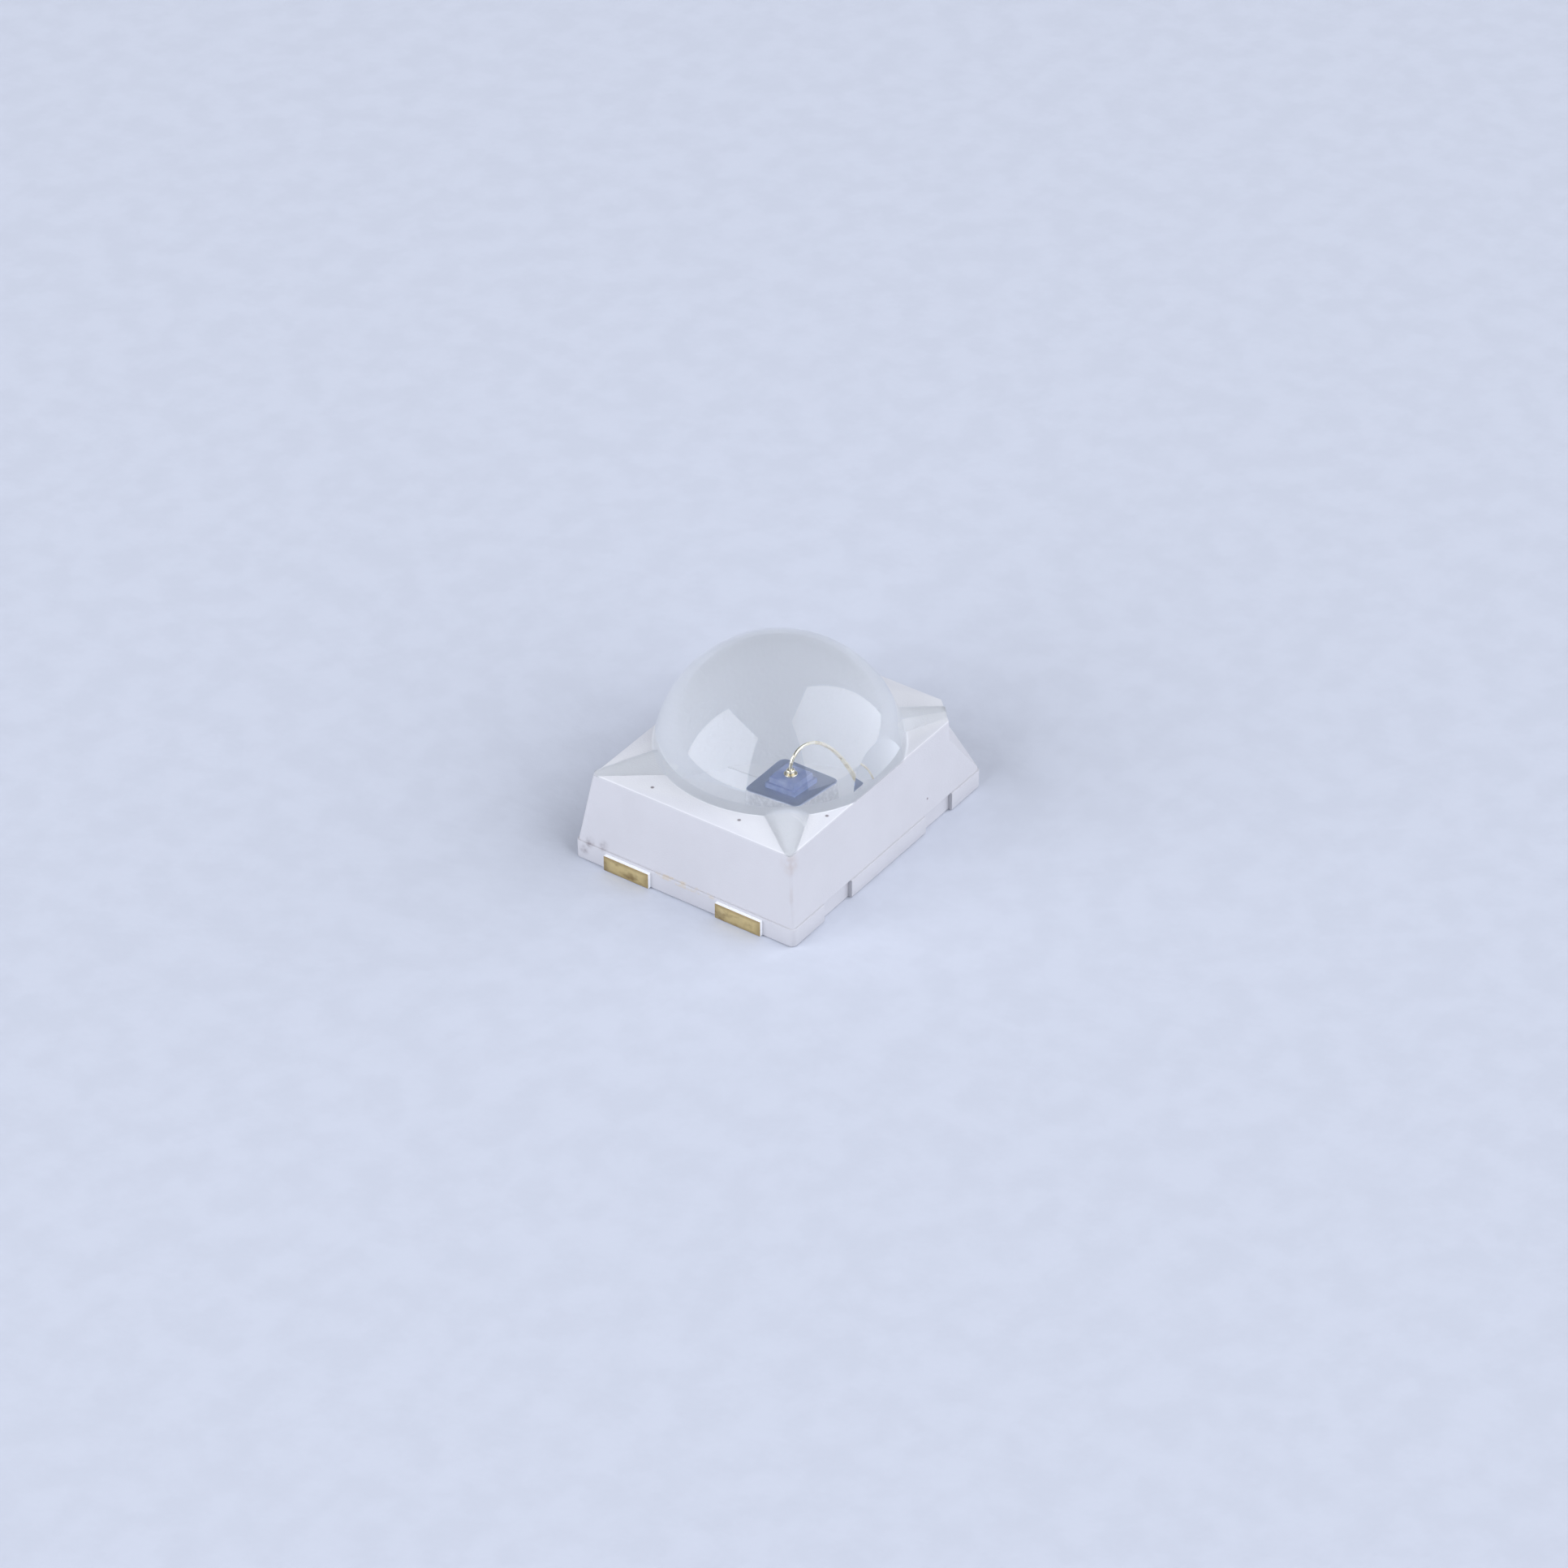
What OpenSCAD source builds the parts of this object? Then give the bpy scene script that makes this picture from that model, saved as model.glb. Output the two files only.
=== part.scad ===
// Surface-mount LED in a white moulded housing with four flat leads and a clear dome lens.
// Millimetres. The origin is the middle of the underside, +X runs along the housing to the wire
// leads, and +Z points out through the dome.

/* [Housing] */
// Length of the housing at its base flange
body_l = 3.5; // [3.3:0.05:4.2]
// Width of the housing at its base flange
body_w = 2.8; // [2.7:0.05:3.4]
// Height of the white moulding
body_h = 1.03; // [0.9:0.01:1.3]
// How far the top edge of each side lies inside the flange
draft_in = 0.14; // [0.08:0.01:0.18]
// Height of the upright base flange
flange_h = 0.22; // [0.15:0.01:0.3]
// Ledge between the flange and the leaning sides
flange_step = 0.02; // [0.01:0.005:0.04]
// Radius on the upright corners of the flange
flange_r = 0.06; // [0.03:0.01:0.12]

/* [Carrier notches] */
// Length of each notch along the long sides of the flange
notch_l = 0.5; // [0.3:0.05:0.7]
// Depth of each notch
notch_in = 0.05; // [0.03:0.01:0.08]
// Distance from one notch of a side to the other, middle to middle
notch_pitch = 1.88; // [1.4:0.02:2.2]

/* [Polarity corner] */
// Length that the corner cut takes from each side at the top
mark_leg = 0.3; // [0.2:0.01:0.4]
// Height at which the upright cut ends and its ramp begins
mark_z = 0.82; // [0.6:0.01:0.86]

/* [Reflector cup] */
// Diameter of the cup's mouth
cup_mouth_d = 2.24; // [2.0:0.02:2.3]
// Diameter of the cup's floor on the lead frame
cup_floor_d = 1.7; // [1.6:0.02:1.85]

/* [Lead frame] */
// Thickness of the lead frame's sheet
lead_t = 0.19; // [0.15:0.01:0.25]
// Width of each lead
tip_w = 0.58; // [0.4:0.02:0.7]
// Distance between the two leads of one end, middle to middle
tip_pitch = 1.43; // [1.2:0.01:1.6]
// How far the leads stand out from the flange
tip_out = 0.04; // [0.02:0.01:0.1]
// Width of the plates inside the housing
plate_w = 1.96; // [1.9:0.02:2.2]
// Distance from the end of the flange to the plates' shoulders
shoulder_in = 0.5; // [0.4:0.02:0.6]
// Width of the insulating gap between the two plates
split_gap = 0.14; // [0.1:0.01:0.2]
// Distance of the gap's middle from the middle of the housing
split_x = 0.48; // [0.46:0.01:0.54]

/* [Chip] */
// Side of the square chip
chip_side = 0.24; // [0.2:0.01:0.36]
// Height of the chip
chip_h = 0.15; // [0.1:0.01:0.25]
// Height of the raised light-giving layer on top of the chip, part of the chip's height
mesa_h = 0.04; // [0.02:0.005:0.06]
// Ledge round the raised layer
mesa_in = 0.02; // [0.01:0.005:0.04]
// Distance of the chip from the middle of the housing, towards the wire leads
chip_x = 0.12; // [0:0.01:0.14]
// Thickness of the silver paste under the chip
paste_t = 0.02; // [0.01:0.005:0.04]
// How far the paste stands out round the chip
paste_out = 0.035; // [0.02:0.005:0.05]

/* [Wire bond] */
// Diameter of the round contact on the chip
contact_d = 0.09; // [0.08:0.01:0.12]
// Thickness of the contact
contact_t = 0.012; // [0.008:0.002:0.02]
// Diameter of the gold wire
wire_d = 0.024; // [0.018:0.002:0.03]
// Diameter of the pressed ball on the contact
ball_d = 0.06; // [0.05:0.005:0.075]
// Height of the pressed ball
ball_h = 0.03; // [0.02:0.005:0.04]
// Height of the wire's loop over the ball
loop_h = 0.14; // [0.08:0.01:0.25]
// Distance from the insulating gap to the point where the wire meets the plate
stitch_in = 0.13; // [0.08:0.01:0.2]

/* [Lens] */
// Radius of the dome
dome_r = 1.35; // [1.26:0.01:1.4]
// Height of the dome over the housing
dome_h = 1.16; // [0.96:0.01:1.24]
// How far above the housing the corner ridges come to a point
ridge_up = 0.06; // [0.04:0.01:0.1]
// How far outside the corners of the housing the corner ridges come to a point
ridge_out = 0.06; // [0.03:0.01:0.12]
// Width of the corner ridges as a part of the width that would just touch the dome
ridge_fit = 0.98; // [0.95:0.005:0.99]

/* [Hidden] */

// Length by which cutting shapes run past the faces that they cut
past = 0.1;
// Length by which the cup's inside runs up into the dome
cup_past = 0.03;
// Width of the wire's pressed foot as a multiple of the wire's own
foot_spread = 3;
// Sides of round shapes
round_sides = 96;
// Sides and rings of the swept wire
wire_sides = 8;
wire_steps = 20;

ridge_z = body_h + ridge_up;
dome_top_z = body_h + dome_h;
dome_centre_z = dome_top_z - dome_r;
// Inward lean of the sides for each millimetre of height
side_lean = (draft_in - flange_step) / (body_h - flange_h);

chip_base_z = lead_t + paste_t;
chip_top_z = chip_base_z + chip_h;
contact_top_z = chip_top_z + contact_t;
ball_top_z = contact_top_z + ball_h;
wire_plate_x = split_x + split_gap / 2;
stitch_x = wire_plate_x + stitch_in;
tip_end_x = body_l / 2 + tip_out;
shoulder_x = body_l / 2 - shoulder_in;

// Distance of a leaning side inside the flange, at a height
function side_in(z) = flange_step + side_lean * (z - flange_h);

// Point on a smooth curve through the air from four control points
function curve_point(p, t) =
    pow(1 - t, 3) * p[0] + 3 * pow(1 - t, 2) * t * p[1] + 3 * (1 - t) * t * t * p[2] + pow(t, 3) * p[3];

// Direction of that curve
function curve_direction(p, t) =
    pow(1 - t, 2) * (p[1] - p[0]) + 2 * (1 - t) * t * (p[2] - p[1]) + t * t * (p[3] - p[2]);

// Block with four leaning sides between two heights
module leaning_block(low_z, high_z) {
    intersection() {
        rotate([90, 0, 0])
            linear_extrude(body_w, center = true)
                leaning_profile(body_l / 2, low_z, high_z);
        rotate([90, 0, 90])
            linear_extrude(body_l, center = true)
                leaning_profile(body_w / 2, low_z, high_z);
    }
}

// Outline of the leaning block seen from one side
module leaning_profile(half, low_z, high_z) {
    polygon([
        [-half + side_in(low_z), low_z],
        [half - side_in(low_z), low_z],
        [half - side_in(high_z), high_z],
        [-half + side_in(high_z), high_z],
    ]);
}

// Upright plate with round corners, standing on the underside
module round_plate(length, width, radius, height) {
    linear_extrude(height) {
        square([length - 2 * radius, width], center = true);
        square([length, width - 2 * radius], center = true);
        for (x = [-1, 1], y = [-1, 1])
            translate([x * (length / 2 - radius), y * (width / 2 - radius)])
                circle(radius, $fn = round_sides);
    }
}

// Inside of the reflector cup, carried past its mouth into the dome
module cup_space() {
    slope = (cup_mouth_d - cup_floor_d) / 2 / (body_h - lead_t);
    translate([0, 0, lead_t])
        cylinder(
            h = body_h - lead_t + cup_past,
            r1 = cup_floor_d / 2,
            r2 = cup_mouth_d / 2 + slope * cup_past,
            $fn = round_sides
        );
}

// One half of the lead frame: a plate from inner_x to the shoulder, and two leads out of the end
module lead_plate(inner_x) {
    translate([inner_x, -plate_w / 2, 0])
        cube([shoulder_x - inner_x, plate_w, lead_t]);
    for (side = [-1, 1])
        translate([shoulder_x - past, side * tip_pitch / 2 - tip_w / 2, 0])
            cube([tip_end_x - shoulder_x + past, tip_w, lead_t]);
}

module chip_lead_plate() {
    mirror([1, 0, 0])
        lead_plate(-(split_x - split_gap / 2));
}

module wire_lead_plate() {
    lead_plate(wire_plate_x);
}

// Corner cut that marks the polarity: upright above mark_z, then a ramp out to the flange's corner
module polarity_cut() {
    corner_x = body_l / 2 - side_in(body_h);
    corner_y = body_w / 2 - side_in(body_h);
    across = mark_leg * sqrt(2);
    depth = mark_leg / sqrt(2);
    foot_out = (side_in(body_h) - flange_step) * sqrt(2);
    ramp_run = depth + foot_out;
    translate([corner_x, -corner_y, 0])
        rotate([0, 0, -45])
            rotate([90, 0, 0])
                linear_extrude(2 * across, center = true)
                    polygon([
                        [-depth, dome_top_z],
                        [-depth, mark_z],
                        [ramp_run - depth, flange_h],
                        [ramp_run - depth + body_w, flange_h],
                        [ramp_run - depth + body_w, dome_top_z],
                    ]);
}

// Recess in the flange where the carrier strip holds the housing
module carrier_notches() {
    for (x = [-1, 1], y = [-1, 1])
        translate([x * notch_pitch / 2 - notch_l / 2, y * body_w / 2 - notch_in, -past])
            cube([notch_l, 2 * notch_in, flange_h + past]);
}

module housing() {
    color("white")
        difference() {
            union() {
                round_plate(body_l, body_w, flange_r, flange_h);
                leaning_block(flange_h - flange_step, body_h);
            }
            cup_space();
            chip_lead_plate();
            wire_lead_plate();
            carrier_notches();
            polarity_cut();
        }
}

module chip_lead() {
    color("khaki")
        chip_lead_plate();
}

module wire_lead() {
    color("khaki")
        wire_lead_plate();
}

// Shape of the cured paste: a low round-edged pad wider than the chip
module paste_shape() {
    side = chip_side + 2 * paste_out;
    translate([chip_x, 0, lead_t])
        round_plate(side, side, paste_out, paste_t);
}

module silver_paste() {
    color("lightgray")
        paste_shape();
}

module chip_shape() {
    mesa_side = chip_side - 2 * mesa_in;
    translate([chip_x - chip_side / 2, -chip_side / 2, chip_base_z])
        cube([chip_side, chip_side, chip_h - mesa_h]);
    translate([chip_x - mesa_side / 2, -mesa_side / 2, chip_base_z])
        cube([mesa_side, mesa_side, chip_h]);
}

module led_chip() {
    color("slategray")
        chip_shape();
}

module contact_shape() {
    translate([chip_x, 0, chip_top_z])
        cylinder(h = contact_t, d = contact_d, $fn = round_sides);
}

module chip_contact() {
    color("gold")
        contact_shape();
}

// Ball pressed flat on the contact, with a bulging edge
module pressed_ball() {
    translate([chip_x, 0, contact_top_z])
        rotate_extrude($fn = round_sides) {
            square([ball_d / 2 - ball_h / 2, ball_h]);
            translate([ball_d / 2 - ball_h / 2, ball_h / 2])
                intersection() {
                    circle(d = ball_h, $fn = round_sides);
                    translate([0, -ball_h / 2])
                        square([ball_h / 2, ball_h]);
                }
        }
}

// Wire that leaves the ball upright, loops over and comes down on the wire plate
module wire_loop() {
    loop_z = ball_top_z + loop_h;
    start_z = contact_top_z + ball_h / 2;
    path = [
        [chip_x, start_z],
        [chip_x, loop_z + loop_h / 2],
        [(chip_x + stitch_x) / 2 + loop_h, loop_z],
        [stitch_x, lead_t],
    ];
    rings = [
        for (i = [0 : wire_steps])
            let (
                t = i / wire_steps,
                middle = curve_point(path, t),
                along = curve_direction(path, t),
                side = [-along[1], along[0]] / norm(along)
            )
            for (k = [0 : wire_sides - 1])
                let (angle = 360 * k / wire_sides, out = wire_d / 2 * cos(angle))
                [middle[0] + side[0] * out, wire_d / 2 * sin(angle), middle[1] + side[1] * out]
    ];
    walls = [
        for (i = [0 : wire_steps - 1], k = [0 : wire_sides - 1])
            let (next = (k + 1) % wire_sides)
            [
                i * wire_sides + k,
                i * wire_sides + next,
                (i + 1) * wire_sides + next,
                (i + 1) * wire_sides + k,
            ]
    ];
    first_cap = [for (k = [wire_sides - 1 : -1 : 0]) k];
    last_cap = [for (k = [0 : wire_sides - 1]) wire_steps * wire_sides + k];
    polyhedron(rings, concat(walls, [first_cap, last_cap]));
}

// Flat foot where the wire is pressed on to the plate
module stitch_foot() {
    translate([stitch_x, 0, lead_t])
        cylinder(h = wire_d / 2, d1 = foot_spread * wire_d, d2 = wire_d, $fn = round_sides);
}

module wire_shape() {
    pressed_ball();
    stitch_foot();
    difference() {
        wire_loop();
        translate([stitch_x - body_l, -body_w, lead_t - body_h])
            cube([2 * body_l, 2 * body_w, body_h]);
    }
}

module bond_wire() {
    color("goldenrod")
        wire_shape();
}

// Ridge of clear resin that runs from one corner of the housing up to the dome. At the polarity
// corner it starts from the middle of the cut.
module corner_ridge(side_x, side_y) {
    cut_back = side_x > 0 && side_y < 0 ? mark_leg / 2 : 0;
    point = [
        side_x * (body_l / 2 - side_in(ridge_z) + ridge_out - cut_back),
        side_y * (body_w / 2 - side_in(ridge_z) + ridge_out - cut_back),
        ridge_z,
    ];
    to_dome = [0, 0, dome_centre_z] - point;
    reach = norm(to_dome);
    touch_l = sqrt(reach * reach - dome_r * dome_r);
    translate(point)
        rotate([0, acos(to_dome[2] / reach), atan2(to_dome[1], to_dome[0])])
            cylinder(
                h = touch_l * touch_l / reach,
                r1 = 0,
                r2 = ridge_fit * touch_l * dome_r / reach,
                $fn = round_sides
            );
}

module dome_lens() {
    color("lightcyan", 0.4)
        difference() {
            union() {
                cup_space();
                intersection() {
                    leaning_block(body_h, dome_top_z);
                    union() {
                        translate([0, 0, dome_centre_z])
                            sphere(dome_r, $fn = round_sides);
                        for (x = [-1, 1], y = [-1, 1])
                            corner_ridge(x, y);
                    }
                }
            }
            polarity_cut();
            paste_shape();
            chip_shape();
            contact_shape();
            wire_shape();
        }
}

housing();
chip_lead();
wire_lead();
silver_paste();
led_chip();
chip_contact();
bond_wire();
dome_lens();
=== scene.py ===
"""Looks of a small surface-mount LED: white moulding, brass leads, bonded chip and clear dome lens.

Pieces are modelled in millimetres, where the modelling tools have room, and settled in metres.
"""
from __future__ import annotations

import logging
import math
from dataclasses import dataclass
from enum import Enum
from typing import Callable

import bpy
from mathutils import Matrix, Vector

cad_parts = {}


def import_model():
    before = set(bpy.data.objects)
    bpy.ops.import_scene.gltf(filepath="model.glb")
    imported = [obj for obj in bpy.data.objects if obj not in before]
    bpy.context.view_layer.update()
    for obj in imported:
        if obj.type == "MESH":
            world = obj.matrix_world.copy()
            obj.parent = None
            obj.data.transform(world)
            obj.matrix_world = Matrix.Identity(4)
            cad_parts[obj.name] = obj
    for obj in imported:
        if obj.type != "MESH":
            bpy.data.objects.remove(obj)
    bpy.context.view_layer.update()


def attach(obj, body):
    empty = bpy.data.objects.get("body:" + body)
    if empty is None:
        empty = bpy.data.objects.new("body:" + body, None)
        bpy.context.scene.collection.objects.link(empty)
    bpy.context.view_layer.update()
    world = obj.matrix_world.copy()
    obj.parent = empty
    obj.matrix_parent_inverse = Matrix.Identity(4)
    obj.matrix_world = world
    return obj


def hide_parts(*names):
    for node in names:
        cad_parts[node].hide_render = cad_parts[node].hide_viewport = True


LOG = logging.getLogger("led")
MM = 0.001
Colour = tuple[float, float, float]
Point = tuple[float, float, float]
Pair = tuple[float, float]
Socket = bpy.types.NodeSocket
Solid = bpy.types.Object
Test = Callable[[Vector, Vector], bool]
CORNERS = ((-1, -1), (-1, 1), (1, -1), (1, 1))
HAIR = 0.001


class Blend(Enum):
    """How one solid is worked into another."""

    JOIN = "UNION"
    CUT = "DIFFERENCE"
    KEEP = "INTERSECT"


class End(Enum):
    """The two ends of the lead frame, as the sign of their side of the housing."""

    CHIP = -1
    WIRE = 1


class Pick(Enum):
    """What a selection in edit mode is made of."""

    VERTS = "VERT"
    EDGES = "EDGE"
    FACES = "FACE"


def anything(middle: Vector, along: Vector) -> bool:
    """Passes every part of a piece."""
    return True


def upright(middle: Vector, along: Vector) -> bool:
    """Passes edges that stand upright, or nearly so."""
    return abs(along.z) > 0.9


def level(middle: Vector, along: Vector) -> bool:
    """Passes edges that lie level."""
    return abs(along.z) < 0.1


def faces_up(middle: Vector, normal: Vector) -> bool:
    """Passes faces that look straight up."""
    return normal.z > 0.9


def above(z: float) -> Test:
    """Test that passes the parts whose middle lies above a height."""
    return lambda middle, along: middle.z > z


class Bench:
    """Hand tools: each works on solids in millimetres, by Blender's own operators."""

    @staticmethod
    def clear() -> None:
        """Leaves edit mode and selects nothing."""
        if bpy.context.object and bpy.context.object.mode != "OBJECT":
            bpy.ops.object.mode_set(mode="OBJECT")
        bpy.ops.object.select_all(action="DESELECT")

    @staticmethod
    def take(piece: Solid) -> None:
        """Selects one piece alone and makes it active.

        Args:
            piece: The piece to work on.
        """
        Bench.clear()
        piece.select_set(True)
        bpy.context.view_layer.objects.active = piece

    @staticmethod
    def fix(piece: Solid) -> Solid:
        """Puts a piece's place, turn and size into its mesh.

        Args:
            piece: The piece to fix.

        Returns:
            The same piece.
        """
        Bench.take(piece)
        bpy.ops.object.transform_apply(location=True, rotation=True, scale=True)
        return piece

    @staticmethod
    def box(name: str, low: Point, high: Point) -> Solid:
        """Adds a box between two corners.

        Args:
            name: Name of the new piece.
            low: Lowest corner.
            high: Highest corner.

        Returns:
            The box.
        """
        Bench.clear()
        middle = [(a + b) / 2 for a, b in zip(low, high)]
        bpy.ops.mesh.primitive_cube_add(size=1.0, location=middle)
        piece = bpy.context.object
        piece.name = name
        piece.scale = [b - a for a, b in zip(low, high)]
        return Bench.fix(piece)

    @staticmethod
    def drum(name: str, low_r: float, high_r: float, low_z: float, high_z: float,
             at: Point = (0.0, 0.0, 0.0), sides: int = 128) -> Solid:
        """Adds a round drum or cone that stands upright.

        Args:
            name: Name of the new piece.
            low_r: Radius at the bottom.
            high_r: Radius at the top.
            low_z: Height of the bottom.
            high_z: Height of the top.
            at: Where the drum's axis stands.
            sides: Number of sides.

        Returns:
            The drum.
        """
        Bench.clear()
        bpy.ops.mesh.primitive_cone_add(
            vertices=sides, radius1=low_r, radius2=high_r, depth=high_z - low_z,
            location=(at[0], at[1], at[2] + (low_z + high_z) / 2),
        )
        piece = bpy.context.object
        piece.name = name
        return Bench.fix(piece)

    @staticmethod
    def blend(piece: Solid, other: Solid, how: Blend) -> None:
        """Works one solid into another and uses it up.

        Args:
            piece: The solid that stays.
            other: The solid that is used up.
            how: Join, cut or keep what both share.
        """
        Bench.take(piece)
        modifier = piece.modifiers.new("blend", "BOOLEAN")
        modifier.operation = how.value
        modifier.object = other
        modifier.solver = "EXACT"
        bpy.ops.object.modifier_apply(modifier=modifier.name)
        mesh = other.data
        bpy.data.objects.remove(other)
        bpy.data.meshes.remove(mesh)

    @staticmethod
    def pick(piece: Solid, kind: Pick, test: Test) -> int:
        """Goes into edit mode with the parts of a piece selected that pass a test.

        Args:
            piece: The piece to select on.
            kind: Vertices, edges or faces.
            test: Takes the middle and the direction of a part: an edge's own, a face's or vertex's normal.

        Returns:
            How many parts were selected.
        """
        Bench.take(piece)
        bpy.ops.object.mode_set(mode="EDIT")
        bpy.ops.mesh.select_mode(type=kind.value)
        bpy.ops.mesh.select_all(action="DESELECT")
        bpy.ops.object.mode_set(mode="OBJECT")
        mesh = piece.data
        count = 0
        if kind is Pick.FACES:
            for face in mesh.polygons:
                face.select = test(face.center, face.normal)
                count += face.select
        elif kind is Pick.EDGES:
            for edge in mesh.edges:
                a, b = (mesh.vertices[i].co for i in edge.vertices)
                edge.select = test((a + b) / 2, (b - a).normalized())
                count += edge.select
        else:
            for vertex in mesh.vertices:
                vertex.select = test(vertex.co, vertex.normal)
                count += vertex.select
        bpy.ops.object.mode_set(mode="EDIT")
        return count

    @staticmethod
    def round_edges(piece: Solid, width: float, steps: int, test: Test) -> None:
        """Rounds the edges of a piece that pass a test.

        Args:
            piece: The piece to round.
            width: Width of the rounding.
            steps: Number of facets across it.
            test: Takes an edge's middle and direction.
        """
        if Bench.pick(piece, Pick.EDGES, test):
            bpy.ops.mesh.bevel(offset=width, segments=steps, affect="EDGES", clamp_overlap=True)
        Bench.clear()

    @staticmethod
    def soften(piece: Solid, width: float, steps: int = 2, angle: float = 40.0) -> None:
        """Rounds every sharp edge of a piece with a bevel modifier, and applies it.

        Args:
            piece: The piece to soften.
            width: Width of the rounding.
            steps: Number of facets across it.
            angle: Sharpest angle, in degrees, that is left alone.
        """
        Bench.take(piece)
        modifier = piece.modifiers.new("soften", "BEVEL")
        modifier.width = width
        modifier.segments = steps
        modifier.limit_method = "ANGLE"
        modifier.angle_limit = math.radians(angle)
        bpy.ops.object.modifier_apply(modifier=modifier.name)

    @staticmethod
    def slice_off(piece: Solid, through: Point, facing: Point) -> None:
        """Cuts a piece along a plane, drops the side that the plane faces and closes the cut.

        Args:
            piece: The piece to cut.
            through: A point on the plane.
            facing: Direction of the side that goes.
        """
        Bench.pick(piece, Pick.FACES, anything)
        bpy.ops.mesh.bisect(
            plane_co=through, plane_no=facing, use_fill=True, clear_outer=True, threshold=1e-5
        )
        bpy.ops.mesh.select_all(action="SELECT")
        bpy.ops.mesh.normals_make_consistent(inside=False)
        Bench.clear()

    @staticmethod
    def settle(piece: Solid, smooth: float = 30.0) -> Solid:
        """Tidies a finished mesh, smooths it up to an angle and brings it from millimetres to metres.

        Args:
            piece: The finished piece.
            smooth: Largest angle between faces, in degrees, that is shaded as a curve.

        Returns:
            The same piece, at the origin and unscaled.
        """
        Bench.pick(piece, Pick.VERTS, anything)
        bpy.ops.mesh.remove_doubles(threshold=2e-5)
        bpy.ops.mesh.normals_make_consistent(inside=False)
        Bench.take(piece)
        bpy.ops.object.shade_smooth_by_angle(angle=math.radians(smooth))
        piece.scale = (MM, MM, MM)
        return Bench.fix(piece)


class Recipe:
    """A material under construction: short names for the nodes that the finishes use."""

    def __init__(self, name: str) -> None:
        """Starts a material with one Principled shader.

        Args:
            name: Name of the material.
        """
        self.material = bpy.data.materials.new(name)
        self.material.use_nodes = True
        self.tree = self.material.node_tree
        self.shader = self.tree.nodes["Principled BSDF"]
        coordinates = self.tree.nodes.new("ShaderNodeTexCoord")
        mapping = self.tree.nodes.new("ShaderNodeMapping")
        mapping.inputs["Scale"].default_value = (1 / MM, 1 / MM, 1 / MM)
        self.tree.links.new(coordinates.outputs["Object"], mapping.inputs["Vector"])
        self.place = mapping.outputs["Vector"]

    def set(self, **values: float | Colour) -> None:
        """Sets constants on the shader's own sockets.

        Args:
            values: Value of each socket, with _ for a space in the socket's name.
        """
        for name, value in values.items():
            socket = self.shader.inputs[name.replace("_", " ")]
            socket.default_value = (*value, 1.0) if isinstance(value, tuple) else value

    def feed(self, socket: str, source: Socket) -> None:
        """Links a pattern to one of the shader's sockets."""
        self.tree.links.new(source, self.shader.inputs[socket])

    def stretched(self, scale: Point) -> Socket:
        """Millimetre coordinates stretched along the axes.

        Args:
            scale: Stretch along each axis.

        Returns:
            The coordinates.
        """
        mapping = self.tree.nodes.new("ShaderNodeMapping")
        mapping.inputs["Scale"].default_value = scale
        self.tree.links.new(self.place, mapping.inputs["Vector"])
        return mapping.outputs["Vector"]

    def noise(self, scale: float, detail: float = 3.0, place: Socket | None = None) -> Socket:
        """Cloudy noise between 0 and 1.

        Args:
            scale: Clouds for each millimetre.
            detail: Octaves of finer noise.
            place: Coordinates, if not the plain ones.

        Returns:
            The noise's value.
        """
        node = self.tree.nodes.new("ShaderNodeTexNoise")
        node.inputs["Scale"].default_value = scale
        node.inputs["Detail"].default_value = detail
        self.tree.links.new(place or self.place, node.inputs["Vector"])
        return node.outputs["Fac"]

    def specks(self, scale: float, size: float, share: float) -> Socket:
        """Sparse round specks of dirt.

        Args:
            scale: Cells for each millimetre.
            size: Radius of a speck as a part of its cell.
            share: Part of the cells that hold one.

        Returns:
            1 in a speck and 0 elsewhere.
        """
        cells = self.tree.nodes.new("ShaderNodeTexVoronoi")
        cells.inputs["Scale"].default_value = scale
        self.tree.links.new(self.place, cells.inputs["Vector"])
        near = self.ramp(cells.outputs["Distance"], size, size * 0.55)
        parts = self.tree.nodes.new("ShaderNodeSeparateColor")
        self.tree.links.new(cells.outputs["Color"], parts.inputs["Color"])
        chosen = self.ramp(parts.outputs["Red"], share, share * 0.98)
        return self.times(near, chosen)

    def math(self, operation: str, a: Socket, b: Socket | float) -> Socket:
        """One step of arithmetic on patterns.

        Args:
            operation: Blender's name of the operation.
            a: First value.
            b: Second value, a pattern or a number.

        Returns:
            The result.
        """
        node = self.tree.nodes.new("ShaderNodeMath")
        node.operation = operation
        self.tree.links.new(a, node.inputs[0])
        if isinstance(b, (int, float)):
            node.inputs[1].default_value = b
        else:
            self.tree.links.new(b, node.inputs[1])
        return node.outputs[0]

    def times(self, a: Socket, b: Socket | float) -> Socket:
        """Product of two values."""
        return self.math("MULTIPLY", a, b)

    def most(self, a: Socket, b: Socket | float) -> Socket:
        """Larger of two values."""
        return self.math("MAXIMUM", a, b)

    def size(self, a: Socket) -> Socket:
        """A value without its sign."""
        return self.math("ABSOLUTE", a, 0.0)

    def ramp(self, source: Socket, start: float, end: float, low: float = 0.0,
             high: float = 1.0) -> Socket:
        """Smooth step of a value from low to high.

        Args:
            source: The value.
            start: Where the step starts.
            end: Where it ends, which may lie below the start.
            low: Result at the start.
            high: Result at the end.

        Returns:
            The stepped value.
        """
        node = self.tree.nodes.new("ShaderNodeMapRange")
        node.interpolation_type = "SMOOTHSTEP"
        flip = end < start
        node.inputs["From Min"].default_value = end if flip else start
        node.inputs["From Max"].default_value = start if flip else end
        node.inputs["To Min"].default_value = high if flip else low
        node.inputs["To Max"].default_value = low if flip else high
        self.tree.links.new(source, node.inputs["Value"])
        return node.outputs["Result"]

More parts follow.
